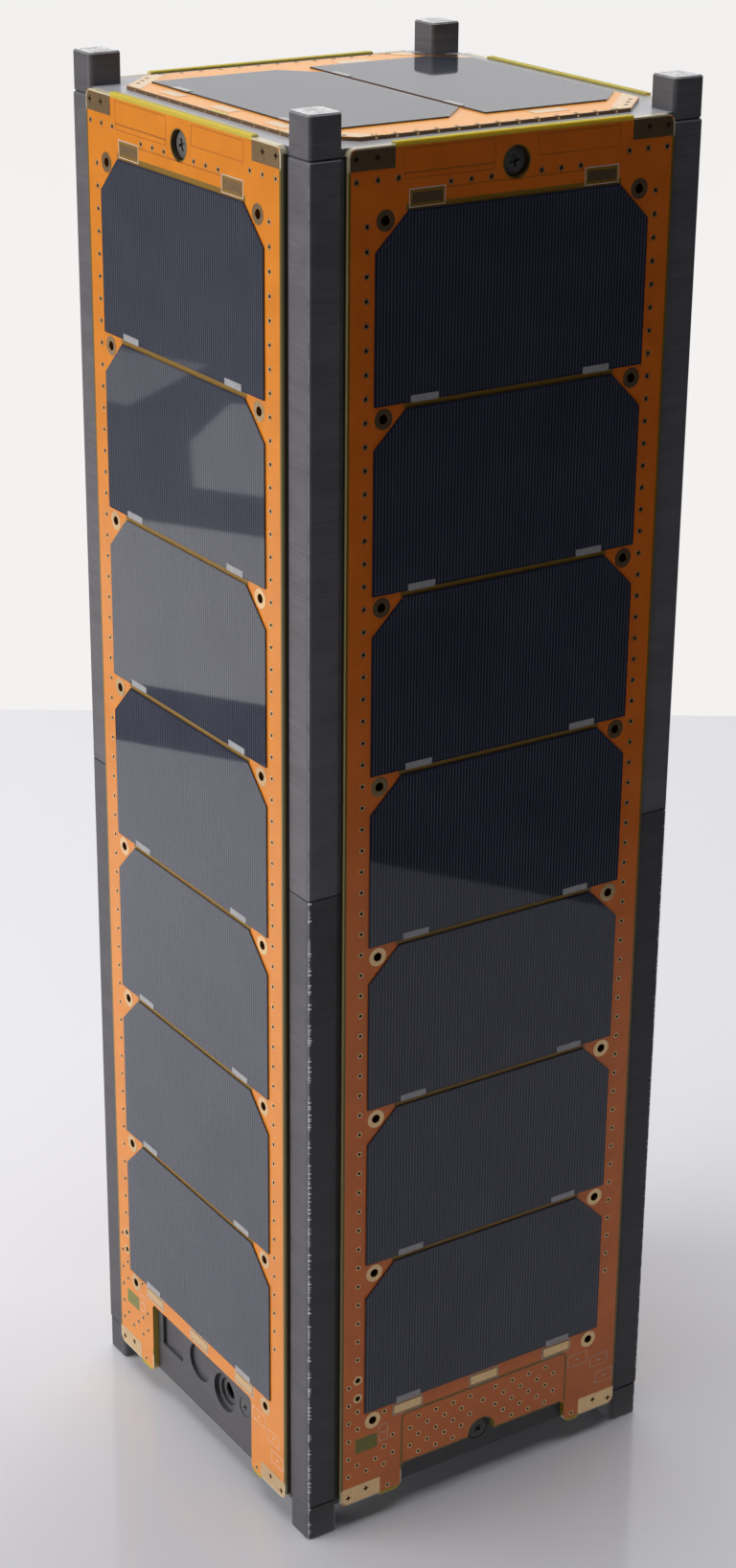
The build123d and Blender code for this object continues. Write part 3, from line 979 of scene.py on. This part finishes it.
def add_top_details():
    """Gold pads, vias and the yellow mark of the top board, with up towards +X."""
    pads, rings, holes, mark = Shape(), Shape(), Shape(), Shape()
    low, high = TOP_BOARD_FACE - SUNK, TOP_BOARD_FACE + COPPER
    edge = TOP_BOARD_HALF - CORNER_MARGIN
    start = TOP_BOARD_HALF - TOP_CHAMFER
    inner = start - CORNER_STRIP
    for across in (-1, 1):
        for up in (-1, 1):
            corner = [(start, edge), (inner, edge), (edge, inner), (edge, start)]
            corner = [(across * u, up * v) for u, v in corner]
            pads.prism(corner if across * up > 0 else corner[::-1], low, high)
            for share in (0.25, 0.5, 0.75):
                u = across * (start - CORNER_VIA_BACK + share * (edge - start))
                v = up * (edge - CORNER_VIA_BACK - share * (edge - start))
                rings.ring(u, v, VIA_INNER, VIA_OUTER, low, high + SUNK, steps=10)
                holes.disc(u, v, VIA_INNER + OVERLAP, low, high + SUNK / 3, steps=8)
    for box in TOP_PADS:
        pads.plate(*box, low, high)
    for row in TOP_VIA_ROWS:
        for across in (-TOP_VIA_REACH, TOP_VIA_REACH):
            rings.ring(across, row * TOP_VIA_PITCH, VIA_INNER, VIA_OUTER, low, high, steps=10)
            holes.disc(across, row * TOP_VIA_PITCH, VIA_INNER + OVERLAP, low, high - COPPER / 3, steps=8)
    mark.plate(MARK_LEFT, -TOP_BOARD_HALF, MARK_RIGHT, MARK_DEPTH - TOP_BOARD_HALF, low, TOP_BOARD_FACE + INK)
    pads.piece("gold_pads_top", "top", GOLD, "gold_plating")
    rings.piece("via_rings_top", "top", GOLD, "gold_plating")
    holes.piece("via_holes_top", "top", HOLE_SHADE, "circuit_board")
    mark.piece("yellow_mark_top", "top", YELLOW, "circuit_board")


def add_edge_marks(side):
    """Cut through-plating that shows as pale marks along one edge of the top board."""
    marks = Shape()
    middle = (TOP_BOARD_LOW + TOP_BOARD_FACE) / 2
    for row in TOP_VIA_ROWS:
        across = row * TOP_VIA_PITCH
        marks.plate(across - EDGE_MARK_HALF, middle - EDGE_MARK_HALF, across + EDGE_MARK_HALF,
                    middle + EDGE_MARK_RISE, TOP_BOARD_HALF - SUNK, TOP_BOARD_HALF + SUNK,
                    radius=EDGE_MARK_ROUND)
    marks.piece(f"edge_marks_{side}", side, GOLD, "gold_plating")


add_top_details()
for side in LONG_SIDES:
    add_edge_marks(side)
for number in (1, 2):
    low_corner, high_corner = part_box(f"cell_top_{number}")
    cell_details(f"top_{number}", "top", low_corner.x / MM, high_corner.x / MM, TOP_CELL_FACE,
                 finger=TOP_FINGER, tab=BRIGHT_SILVER)


# Print ridges on the upper feet, as squares around the middle of each foot
FOOT_MIDDLE = RAIL_FACE - 4.25
RIDGE_HALVES = (2.9, 2.15, 1.4, 0.65)
RIDGE_WIDTH = 0.3
RIDGE_SUNK = 0.05
RIDGE_RISE = 0.03


def add_foot_lines():
    """Ridges of the print path on the tops of the upper feet."""
    ridges = Shape()
    for across in (-FOOT_MIDDLE, FOOT_MIDDLE):
        for up in (-FOOT_MIDDLE, FOOT_MIDDLE):
            for half in RIDGE_HALVES:
                ridges.outline_box(across - half, up - half, across + half, up + half, RIDGE_WIDTH,
                                   TOTAL_HEIGHT - RIDGE_SUNK, TOTAL_HEIGHT + RIDGE_RISE)
    ridges.piece("foot_print_ridges", "top", PLASTIC, "printed_plastic")


add_foot_lines()

# Camera, where the photo was taken from
CAMERA_AZIMUTH = -33.2365
CAMERA_ELEVATION = 22.7947
CAMERA_ROLL = 0.5249
CAMERA_LENS = 66.288
CAMERA_SENSOR = 36.0
ORIGIN_IN_CAMERA = (0.1085, -156.2955, -761.3)


def add_camera():
    """The camera, placed by where the satellite's origin lies in its own right, up and back axes."""
    azimuth, elevation, roll = (math.radians(a) for a in (CAMERA_AZIMUTH, CAMERA_ELEVATION, CAMERA_ROLL))
    back = Vector((math.sin(azimuth) * math.cos(elevation), -math.cos(azimuth) * math.cos(elevation),
                   math.sin(elevation)))
    level = Vector((math.cos(azimuth), math.sin(azimuth), 0))
    upright = back.cross(level)
    right = level * math.cos(roll) + upright * math.sin(roll)
    up = upright * math.cos(roll) - level * math.sin(roll)
    turn = Matrix((right, up, back)).transposed()
    camera = add_object("camera", bpy.data.cameras.new("camera"))
    camera.data.lens = CAMERA_LENS
    camera.data.sensor_width = CAMERA_SENSOR
    camera.data.clip_start = 0.01
    place = turn @ (-Vector(ORIGIN_IN_CAMERA) * MM)
    camera.matrix_world = Matrix.Translation(place) @ turn.to_4x4()
    bpy.context.scene.camera = camera


# Studio: distances are in metres along the camera's level view and to its right
TABLE_RIGHT = 0.36
TABLE_LEFT = -0.457
TABLE_NEAR = -0.9
TABLE_FAR = 0.48
TABLE = ((TABLE_LEFT, TABLE_NEAR), (TABLE_RIGHT, TABLE_NEAR), (TABLE_RIGHT, TABLE_FAR),
         (TABLE_LEFT, TABLE_FAR))
# Where the floor's painted shade on the near side ends, and how soft its edge is
FLOOR_SHADE_EDGE = -0.04
FLOOR_SHADE_BLUR = 0.08
PAPER = 60.0
PAPER_DROP = 0.002
CARD_DROP = 0.001
SHADE_LEFT = -0.012
GLOW_LEFT = 0.21
GLOW_BLUR = 0.11


def level_point(right, ahead, height):
    """A point of the studio, from its distances to the right and ahead of the satellite."""
    azimuth = math.radians(CAMERA_AZIMUTH)
    return (right * math.cos(azimuth) - ahead * math.sin(azimuth),
            right * math.sin(azimuth) + ahead * math.cos(azimuth), height)


def add_sheet(name, corners, material):
    """A flat stage surface."""
    mesh = bpy.data.meshes.new(name)
    mesh.from_pydata(corners, [], [range(len(corners))])
    mesh.materials.append(material)
    sheet = add_object(name, mesh)
    return sheet


def add_light(name, place, target, size, power, colour):
    """A rectangular soft light that looks at a target."""
    data = bpy.data.lights.new(name, "AREA")
    data.shape = "RECTANGLE"
    data.size, data.size_y = size
    data.energy = power
    data.color = colour
    light = add_object(name, data)
    light.location = place
    light.rotation_euler = (Vector(target) - Vector(place)).to_track_quat("-Z", "Y").to_euler()


# Cards that only reflections show: light, height, corners and, where it differs, the light at the left
CARDS = {
    "whole_table": ((0.60, 0.59, 0.61), -0.0015, TABLE),
    "shaded_table": ((0.33, 0.33, 0.34), -CARD_DROP,
                     ((SHADE_LEFT, -0.073), (TABLE_RIGHT, 0.17), (TABLE_RIGHT, TABLE_NEAR),
                      (SHADE_LEFT, TABLE_NEAR))),
    "dim_room": ((0.17, 0.165, 0.165), 0.0, ((-0.72, -0.8), (-0.72, 1.6), (-3.0, 3.0), (-3.0, -0.8))),
    "near_card": ((1.15, 1.13, 1.13), 0.0, ((-0.515, -0.8), (-0.515, 1.2), (-0.72, 1.6), (-0.72, -0.8))),
    "middle_card": ((1.00, 0.99, 1.00), 0.002,
                    ((-0.775, 0.24), (-0.775, 0.345), (-0.85, 0.385), (-0.93, 0.40), (-0.93, 0.28))),
    "far_card": ((0.65, 0.64, 0.66), 0.002, ((-0.90, 0.45), (-0.93, 0.56), (-1.02, 0.58), (-1.0, 0.45))),
    "bright_table": ((0.72, 0.71, 0.73), -CARD_DROP,
                     ((-0.05, -0.5), (-0.05, TABLE_FAR), (TABLE_LEFT, TABLE_FAR), (TABLE_LEFT, -0.5)),
                     (1.00, 0.98, 1.00)),
}


def add_card(name, light, height, corners, left_light=None):
    """A glowing card that shows in reflections only, in another light towards its left where given."""
    surface = glowing(name, light)
    if left_light:
        share = surface.above(studio_axis(surface, -1, 0), GLOW_LEFT, GLOW_BLUR, unit=1)
        surface.set(Emission_Color=surface.mixed(share, light, left_light))
    places = [level_point(right, ahead, height) for right, ahead in corners]
    card = add_sheet(name, places, surface.material)
    card.visible_camera = False
    card.visible_diffuse = False
    card.visible_shadow = False


# Soft lights: place, target, size, power and colour
MIDDLE = (0, 0, 0.17)
LIGHTS = {
    "window": ((-1.24, 0.42, 0.54), MIDDLE, (1.1, 1.1), 17.0, (1.0, 0.98, 0.96)),
    "back_box": ((0.85, 1.35, 0.85), MIDDLE, (2.2, 1.1), 7.0, (1.0, 0.99, 0.98)),
    "near_fill": (level_point(-0.02, -0.30, 0.03), (0, -0.05, 0.06), (0.3, 0.2), 0.045, (1.0, 0.98, 0.97)),
    "overhead": ((0.0, 0.12, 1.7), MIDDLE, (1.4, 1.4), 17.6, (1.0, 0.99, 1.0)),
}
# Dim light of the room, from low to high: place on the ramp and colour
ROOM_LIGHT = ((0.47, (0.02, 0.02, 0.022, 1)), (0.62, (0.050, 0.050, 0.054, 1)))


def add_room():
    """Dim light from all around, a little brighter from above."""
    world = bpy.data.worlds.new("room")
    world.use_nodes = True
    nodes, links = world.node_tree.nodes, world.node_tree.links
    direction = nodes.new("ShaderNodeTexCoord")
    split = nodes.new("ShaderNodeSeparateXYZ")
    ramp = nodes.new("ShaderNodeValToRGB")
    for element, (position, colour) in zip(ramp.color_ramp.elements, ROOM_LIGHT):
        element.position = position
        element.color = colour
    half = nodes.new("ShaderNodeMath")
    half.operation = "MULTIPLY_ADD"
    half.inputs[1].default_value = 0.5
    half.inputs[2].default_value = 0.5
    links.new(direction.outputs["Generated"], split.inputs[0])
    links.new(split.outputs["Z"], half.inputs[0])
    links.new(half.outputs[0], ramp.inputs["Fac"])
    links.new(ramp.outputs["Color"], nodes["Background"].inputs["Color"])
    bpy.context.scene.world = world


def add_studio():
    """Pale table on white paper, the cards that reflections show, and the soft lights."""
    table = [level_point(right, ahead, 0) for right, ahead in TABLE]
    floor = add_sheet("floor", table, floor_material())
    floor.visible_glossy = False
    paper_corners = [(x * PAPER, y * PAPER, -PAPER_DROP) for x, y in ((-1, -1), (1, -1), (1, 1), (-1, 1))]
    white = glowing("white_backdrop", (1.0, 0.985, 0.97), strength=0.88)
    paper = add_sheet("backdrop", paper_corners, white.material)
    paper.visible_glossy = False
    paper.visible_diffuse = False
    for name, card in CARDS.items():
        add_card(name, *card)
    for name, light in LIGHTS.items():
        add_light(name, *light)
    bpy.context.scene.view_settings.view_transform = "Standard"


add_camera()
add_studio()
add_room()
